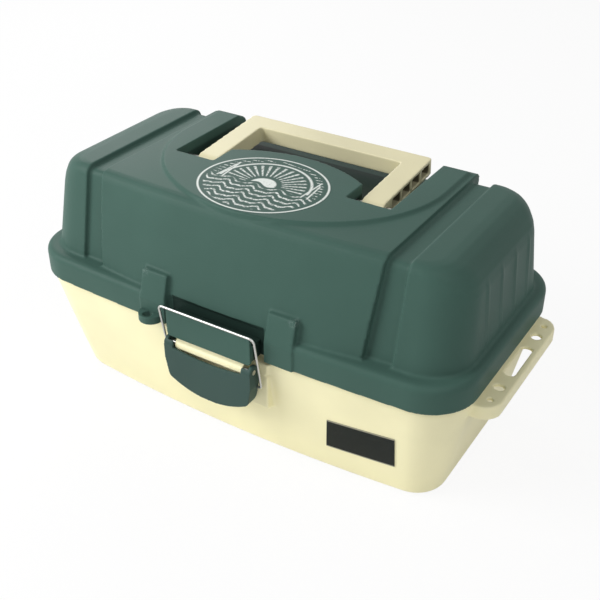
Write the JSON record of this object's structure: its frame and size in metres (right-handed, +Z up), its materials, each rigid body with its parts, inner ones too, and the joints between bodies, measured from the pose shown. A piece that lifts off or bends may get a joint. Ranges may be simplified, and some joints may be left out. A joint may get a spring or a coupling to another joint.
{
  "type": "tackle box",
  "caption": "Lidded plastic tackle box whose trays rise on linked arms as the hinged lid opens, with folding handle, draw latch and lure racks at both ends.",
  "frame": {"origin": "middle of the base's underside", "axes": "+X along the box to the right, -Y to the front where the latch is, +Z up"},
  "size_m": [0.429, 0.2255, 0.2069],
  "materials": {
    "cream_plastic": "satin",
    "green_plastic": "satin",
    "tray_plastic": "satin",
    "steel": "bright"
  },
  "bodies": {
    "base": {"base_tub": "cream_plastic", "lever_mount": "cream_plastic", "lure_rack_right": "cream_plastic", "lure_rack_left": "cream_plastic", "hinge_rods": "steel", "lever_pin": "steel", "base_arm_pins": "steel"},
    "lid": {"lid_hood": "green_plastic", "latch_keeper": "green_plastic", "padlock_ear": "green_plastic", "handle_pins": "steel", "link_lid_rivets": "steel"},
    "handle": {"carry_handle": "cream_plastic"},
    "lever": {"latch_lever": "green_plastic"},
    "bail": {"latch_bail": "steel"},
    "front_arms": {"front_arm_left": "steel", "front_arm_right": "steel"},
    "rear_arms": {"rear_arm_left": "steel", "rear_arm_right": "steel", "link_arm_rivets": "steel"},
    "lower_tray": {"lower_tray": "tray_plastic", "lower_tray_rivets": "steel"},
    "middle_tray": {"middle_tray": "tray_plastic", "middle_tray_rivets": "steel"},
    "upper_tray": {"upper_tray": "tray_plastic", "upper_tray_rivets": "steel"},
    "lid_links": {"lid_link_left": "steel", "lid_link_right": "steel"}
  },
  "joints": [
    {"name": "lid_hinge", "type": "hinge", "parent": "base", "child": "lid", "pos_m": [0, 0.106, 0.102], "axis": [-1, 0, 0], "range_deg": [0, 95]},
    {"name": "handle_hinge", "type": "hinge", "parent": "lid", "child": "handle", "pos_m": [0, 0.005, 0.1935], "axis": [1, 0, 0], "range_deg": [0, 90]},
    {"name": "lever_hinge", "type": "hinge", "parent": "base", "child": "lever", "pos_m": [0, -0.109, 0.0935], "axis": [-1, 0, 0], "range_deg": [0, 100]},
    {"name": "bail_hinge", "type": "hinge", "parent": "lever", "child": "bail", "pos_m": [0, -0.105, 0.078], "axis": [1, 0, 0], "range_deg": [0, 125]},
    {"name": "front_arm_hinge", "type": "hinge", "parent": "base", "child": "front_arms", "pos_m": [0, 0.03, 0.0942], "axis": [-1, 0, 0], "range_deg": [0, 95]},
    {"name": "rear_arm_hinge", "type": "hinge", "parent": "base", "child": "rear_arms", "pos_m": [0, 0.057, 0.0942], "axis": [-1, 0, 0], "range_deg": [0, 95]},
    {"name": "lower_tray_pivot", "type": "hinge", "parent": "rear_arms", "child": "lower_tray", "pos_m": [0, 0.02178, 0.11886], "axis": [1, 0, 0], "range_deg": [0, 95]},
    {"name": "middle_tray_pivot", "type": "hinge", "parent": "rear_arms", "child": "middle_tray", "pos_m": [0, -0.00608, 0.13837], "axis": [1, 0, 0], "range_deg": [0, 95]},
    {"name": "upper_tray_pivot", "type": "hinge", "parent": "rear_arms", "child": "upper_tray", "pos_m": [0, -0.03433, 0.15815], "axis": [1, 0, 0], "range_deg": [0, 95]},
    {"name": "lid_link_pivot", "type": "hinge", "parent": "lid", "child": "lid_links", "pos_m": [0, 0.05685, 0.13642], "axis": [1, 0, 0], "range_deg": [0, 95]}
  ],
  "couplings": [
    {"joint": "bail_hinge", "follows": "lever_hinge", "ratio": 1.25},
    {"joint": "front_arm_hinge", "follows": "lid_hinge", "ratio": 1},
    {"joint": "rear_arm_hinge", "follows": "lid_hinge", "ratio": 1},
    {"joint": "lower_tray_pivot", "follows": "lid_hinge", "ratio": 1},
    {"joint": "middle_tray_pivot", "follows": "lid_hinge", "ratio": 1},
    {"joint": "upper_tray_pivot", "follows": "lid_hinge", "ratio": 1},
    {"joint": "lid_link_pivot", "follows": "lid_hinge", "ratio": 1}
  ]
}
